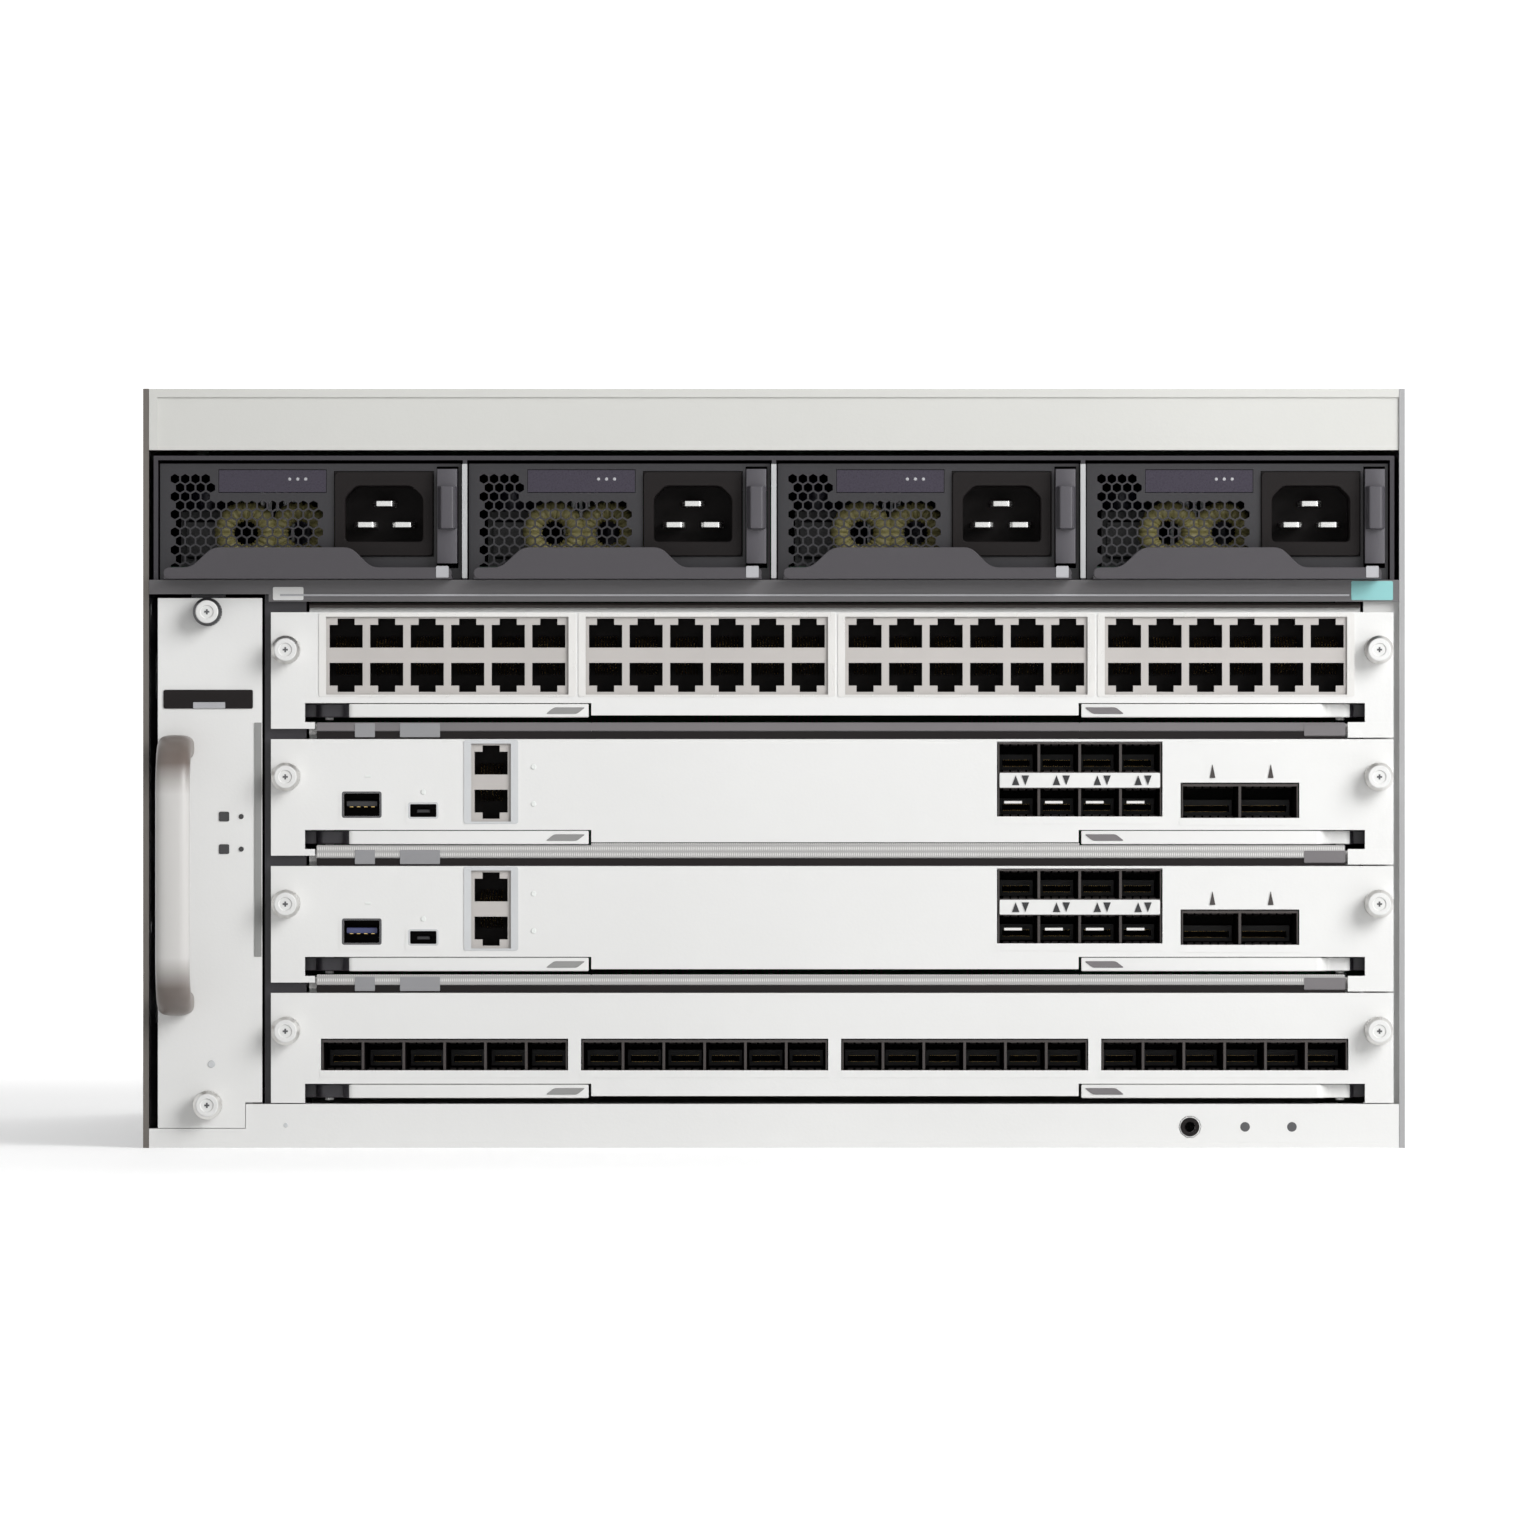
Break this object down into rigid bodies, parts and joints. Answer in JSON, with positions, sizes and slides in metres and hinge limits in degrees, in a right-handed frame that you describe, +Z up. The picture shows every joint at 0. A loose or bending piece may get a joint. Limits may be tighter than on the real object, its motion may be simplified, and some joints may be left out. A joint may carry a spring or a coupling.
{
  "type": "modular chassis switch",
  "caption": "Modular network switch chassis with slide-in port cards, supervisor cards, power supplies and a side fan tray.",
  "frame": {"origin": "under the middle of the whole model, on the surface it stands on", "axes": "+X to the right seen from the front, +Y to the rear, +Z up"},
  "size_m": [0.442, 0.448, 0.266],
  "materials": {
    "pale_paint": "satin powder coat, pale warm grey",
    "side_paint": "powder coat, light grey",
    "dark_paint": "powder coat, charcoal",
    "zinc_sheet": "zinc-plated sheet",
    "board_laminate": "glass-epoxy board with mounted parts",
    "black_plastic": "moulded black plastic",
    "grey_plastic": "moulded light grey plastic",
    "white_satin": "satin white bar",
    "lever_metal": "bead-blasted aluminium",
    "screw_steel": "nickel-plated, fluted"
  },
  "bodies": {
    "chassis": {"base_pan": "pale_paint", "left_side_panel": "side_paint", "right_side_panel": "side_paint", "top_cover": "side_paint", "rear_panel": "side_paint", "top_bezel": "pale_paint", "power_shelf": "dark_paint", "fan_bay_wall": "zinc_sheet", "right_card_guide": "zinc_sheet", "backplane": "board_laminate"},
    "power_supply_1": {"power_supply_1_case": "dark_paint", "power_supply_1_inlet": "black_plastic", "power_supply_1_core": "board_laminate"},
    "power_supply_1_latch": {"power_supply_1_latch": "grey_plastic"},
    "power_supply_2": {"power_supply_2_case": "dark_paint", "power_supply_2_inlet": "black_plastic", "power_supply_2_core": "board_laminate"},
    "power_supply_2_latch": {"power_supply_2_latch": "grey_plastic"},
    "power_supply_3": {"power_supply_3_case": "dark_paint", "power_supply_3_inlet": "black_plastic", "power_supply_3_core": "board_laminate"},
    "power_supply_3_latch": {"power_supply_3_latch": "grey_plastic"},
    "power_supply_4": {"power_supply_4_case": "dark_paint", "power_supply_4_inlet": "black_plastic", "power_supply_4_core": "board_laminate"},
    "power_supply_4_latch": {"power_supply_4_latch": "grey_plastic"},
    "fan_tray": {"fan_tray_frame": "pale_paint", "fan_tray_handle": "white_satin"},
    "fan_tray_screw_top": {"fan_tray_screw_top": "screw_steel"},
    "fan_tray_screw_bottom": {"fan_tray_screw_bottom": "screw_steel"},
    "fan_rotor_1": {"fan_rotor_1": "black_plastic"},
    "fan_rotor_2": {"fan_rotor_2": "black_plastic"},
    "fan_rotor_3": {"fan_rotor_3": "black_plastic"},
    "fan_rotor_4": {"fan_rotor_4": "black_plastic"},
    "fan_rotor_5": {"fan_rotor_5": "black_plastic"},
    "fan_rotor_6": {"fan_rotor_6": "black_plastic"},
    "line_card_1": {"line_card_1_faceplate": "pale_paint", "line_card_1_board": "board_laminate"},
    "line_card_1_left_lever": {"line_card_1_left_lever": "lever_metal"},
    "line_card_1_left_screw": {"line_card_1_left_screw": "screw_steel"},
    "line_card_1_right_lever": {"line_card_1_right_lever": "lever_metal"},
    "line_card_1_right_screw": {"line_card_1_right_screw": "screw_steel"},
    "supervisor_2": {"supervisor_2_faceplate": "pale_paint", "supervisor_2_board": "board_laminate"},
    "supervisor_2_left_lever": {"supervisor_2_left_lever": "lever_metal"},
    "supervisor_2_left_screw": {"supervisor_2_left_screw": "screw_steel"},
    "supervisor_2_right_lever": {"supervisor_2_right_lever": "lever_metal"},
    "supervisor_2_right_screw": {"supervisor_2_right_screw": "screw_steel"},
    "supervisor_3": {"supervisor_3_faceplate": "pale_paint", "supervisor_3_board": "board_laminate"},
    "supervisor_3_left_lever": {"supervisor_3_left_lever": "lever_metal"},
    "supervisor_3_left_screw": {"supervisor_3_left_screw": "screw_steel"},
    "supervisor_3_right_lever": {"supervisor_3_right_lever": "lever_metal"},
    "supervisor_3_right_screw": {"supervisor_3_right_screw": "screw_steel"},
    "line_card_4": {"line_card_4_faceplate": "pale_paint", "line_card_4_board": "board_laminate"},
    "line_card_4_left_lever": {"line_card_4_left_lever": "lever_metal"},
    "line_card_4_left_screw": {"line_card_4_left_screw": "screw_steel"},
    "line_card_4_right_lever": {"line_card_4_right_lever": "lever_metal"},
    "line_card_4_right_screw": {"line_card_4_right_screw": "screw_steel"}
  },
  "joints": [
    {"name": "power_supply_1_slide", "type": "slide", "parent": "chassis", "child": "power_supply_1", "axis": [0, -1, 0], "range_m": [0, 0.335]},
    {"name": "power_supply_1_latch_pivot", "type": "hinge", "parent": "power_supply_1", "child": "power_supply_1_latch", "pos_m": [-0.11375, -0.142, 0.2213], "axis": [0, 0, 1], "range_deg": [-5, 0], "stiffness_Nm_per_rad": 1},
    {"name": "power_supply_2_slide", "type": "slide", "parent": "chassis", "child": "power_supply_2", "axis": [0, -1, 0], "range_m": [0, 0.335]},
    {"name": "power_supply_2_latch_pivot", "type": "hinge", "parent": "power_supply_2", "child": "power_supply_2_latch", "pos_m": [-0.00545, -0.142, 0.2213], "axis": [0, 0, 1], "range_deg": [-5, 0], "stiffness_Nm_per_rad": 1},
    {"name": "power_supply_3_slide", "type": "slide", "parent": "chassis", "child": "power_supply_3", "axis": [0, -1, 0], "range_m": [0, 0.335]},
    {"name": "power_supply_3_latch_pivot", "type": "hinge", "parent": "power_supply_3", "child": "power_supply_3_latch", "pos_m": [0.10285, -0.142, 0.2213], "axis": [0, 0, 1], "range_deg": [-5, 0], "stiffness_Nm_per_rad": 1},
    {"name": "power_supply_4_slide", "type": "slide", "parent": "chassis", "child": "power_supply_4", "axis": [0, -1, 0], "range_m": [0, 0.335]},
    {"name": "power_supply_4_latch_pivot", "type": "hinge", "parent": "power_supply_4", "child": "power_supply_4_latch", "pos_m": [0.21115, -0.142, 0.2213], "axis": [0, 0, 1], "range_deg": [-5, 0], "stiffness_Nm_per_rad": 1},
    {"name": "fan_tray_slide", "type": "slide", "parent": "chassis", "child": "fan_tray", "axis": [0, -1, 0], "range_m": [0, 0.335]},
    {"name": "fan_tray_screw_top_turn", "type": "hinge", "parent": "fan_tray", "child": "fan_tray_screw_top", "pos_m": [-0.1982, -0.19, 0.1877], "axis": [0, 1, 0], "continuous": true},
    {"name": "fan_tray_screw_bottom_turn", "type": "hinge", "parent": "fan_tray", "child": "fan_tray_screw_bottom", "pos_m": [-0.1982, -0.19, 0.0152], "axis": [0, 1, 0], "continuous": true},
    {"name": "fan_rotor_1_spin", "type": "hinge", "parent": "fan_tray", "child": "fan_rotor_1", "pos_m": [-0.1989, -0.133, 0.0605], "axis": [1, 0, 0], "continuous": true},
    {"name": "fan_rotor_2_spin", "type": "hinge", "parent": "fan_tray", "child": "fan_rotor_2", "pos_m": [-0.1989, -0.025, 0.0605], "axis": [1, 0, 0], "continuous": true},
    {"name": "fan_rotor_3_spin", "type": "hinge", "parent": "fan_tray", "child": "fan_rotor_3", "pos_m": [-0.1989, 0.083, 0.0605], "axis": [1, 0, 0], "continuous": true},
    {"name": "fan_rotor_4_spin", "type": "hinge", "parent": "fan_tray", "child": "fan_rotor_4", "pos_m": [-0.1989, -0.133, 0.1425], "axis": [1, 0, 0], "continuous": true},
    {"name": "fan_rotor_5_spin", "type": "hinge", "parent": "fan_tray", "child": "fan_rotor_5", "pos_m": [-0.1989, -0.025, 0.1425], "axis": [1, 0, 0], "continuous": true},
    {"name": "fan_rotor_6_spin", "type": "hinge", "parent": "fan_tray", "child": "fan_rotor_6", "pos_m": [-0.1989, 0.083, 0.1425], "axis": [1, 0, 0], "continuous": true},
    {"name": "line_card_1_slide", "type": "slide", "parent": "chassis", "child": "line_card_1", "axis": [0, -1, 0], "range_m": [0, 0.345]},
    {"name": "line_card_1_left_lever_pivot", "type": "hinge", "parent": "line_card_1", "child": "line_card_1_left_lever", "pos_m": [-0.156, -0.1815, 0.15265], "axis": [0, 0, 1], "range_deg": [-55, 0]},
    {"name": "line_card_1_left_screw_turn", "type": "hinge", "parent": "line_card_1", "child": "line_card_1_left_screw", "pos_m": [-0.1708, -0.19, 0.17445], "axis": [0, 1, 0], "continuous": true},
    {"name": "line_card_1_right_lever_pivot", "type": "hinge", "parent": "line_card_1", "child": "line_card_1_right_lever", "pos_m": [0.1987, -0.1815, 0.15265], "axis": [0, 0, 1], "range_deg": [0, 55]},
    {"name": "line_card_1_right_screw_turn", "type": "hinge", "parent": "line_card_1", "child": "line_card_1_right_screw", "pos_m": [0.2116, -0.19, 0.17445], "axis": [0, 1, 0], "continuous": true},
    {"name": "supervisor_2_slide", "type": "slide", "parent": "chassis", "child": "supervisor_2", "axis": [0, -1, 0], "range_m": [0, 0.345]},
    {"name": "supervisor_2_left_lever_pivot", "type": "hinge", "parent": "supervisor_2", "child": "supervisor_2_left_lever", "pos_m": [-0.156, -0.1815, 0.1082], "axis": [0, 0, 1], "range_deg": [-55, 0]},
    {"name": "supervisor_2_left_screw_turn", "type": "hinge", "parent": "supervisor_2", "child": "supervisor_2_left_screw", "pos_m": [-0.1708, -0.19, 0.13], "axis": [0, 1, 0], "continuous": true},
    {"name": "supervisor_2_right_lever_pivot", "type": "hinge", "parent": "supervisor_2", "child": "supervisor_2_right_lever", "pos_m": [0.1987, -0.1815, 0.1082], "axis": [0, 0, 1], "range_deg": [0, 55]},
    {"name": "supervisor_2_right_screw_turn", "type": "hinge", "parent": "supervisor_2", "child": "supervisor_2_right_screw", "pos_m": [0.2116, -0.19, 0.13], "axis": [0, 1, 0], "continuous": true},
    {"name": "supervisor_3_slide", "type": "slide", "parent": "chassis", "child": "supervisor_3", "axis": [0, -1, 0], "range_m": [0, 0.345]},
    {"name": "supervisor_3_left_lever_pivot", "type": "hinge", "parent": "supervisor_3", "child": "supervisor_3_left_lever", "pos_m": [-0.156, -0.1815, 0.06375], "axis": [0, 0, 1], "range_deg": [-55, 0]},
    {"name": "supervisor_3_left_screw_turn", "type": "hinge", "parent": "supervisor_3", "child": "supervisor_3_left_screw", "pos_m": [-0.1708, -0.19, 0.08555], "axis": [0, 1, 0], "continuous": true},
    {"name": "supervisor_3_right_lever_pivot", "type": "hinge", "parent": "supervisor_3", "child": "supervisor_3_right_lever", "pos_m": [0.1987, -0.1815, 0.06375], "axis": [0, 0, 1], "range_deg": [0, 55]},
    {"name": "supervisor_3_right_screw_turn", "type": "hinge", "parent": "supervisor_3", "child": "supervisor_3_right_screw", "pos_m": [0.2116, -0.19, 0.08555], "axis": [0, 1, 0], "continuous": true},
    {"name": "line_card_4_slide", "type": "slide", "parent": "chassis", "child": "line_card_4", "axis": [0, -1, 0], "range_m": [0, 0.345]},
    {"name": "line_card_4_left_lever_pivot", "type": "hinge", "parent": "line_card_4", "child": "line_card_4_left_lever", "pos_m": [-0.156, -0.1815, 0.0193], "axis": [0, 0, 1], "range_deg": [-55, 0]},
    {"name": "line_card_4_left_screw_turn", "type": "hinge", "parent": "line_card_4", "child": "line_card_4_left_screw", "pos_m": [-0.1708, -0.19, 0.0411], "axis": [0, 1, 0], "continuous": true},
    {"name": "line_card_4_right_lever_pivot", "type": "hinge", "parent": "line_card_4", "child": "line_card_4_right_lever", "pos_m": [0.1987, -0.1815, 0.0193], "axis": [0, 0, 1], "range_deg": [0, 55]},
    {"name": "line_card_4_right_screw_turn", "type": "hinge", "parent": "line_card_4", "child": "line_card_4_right_screw", "pos_m": [0.2116, -0.19, 0.0411], "axis": [0, 1, 0], "continuous": true}
  ]
}
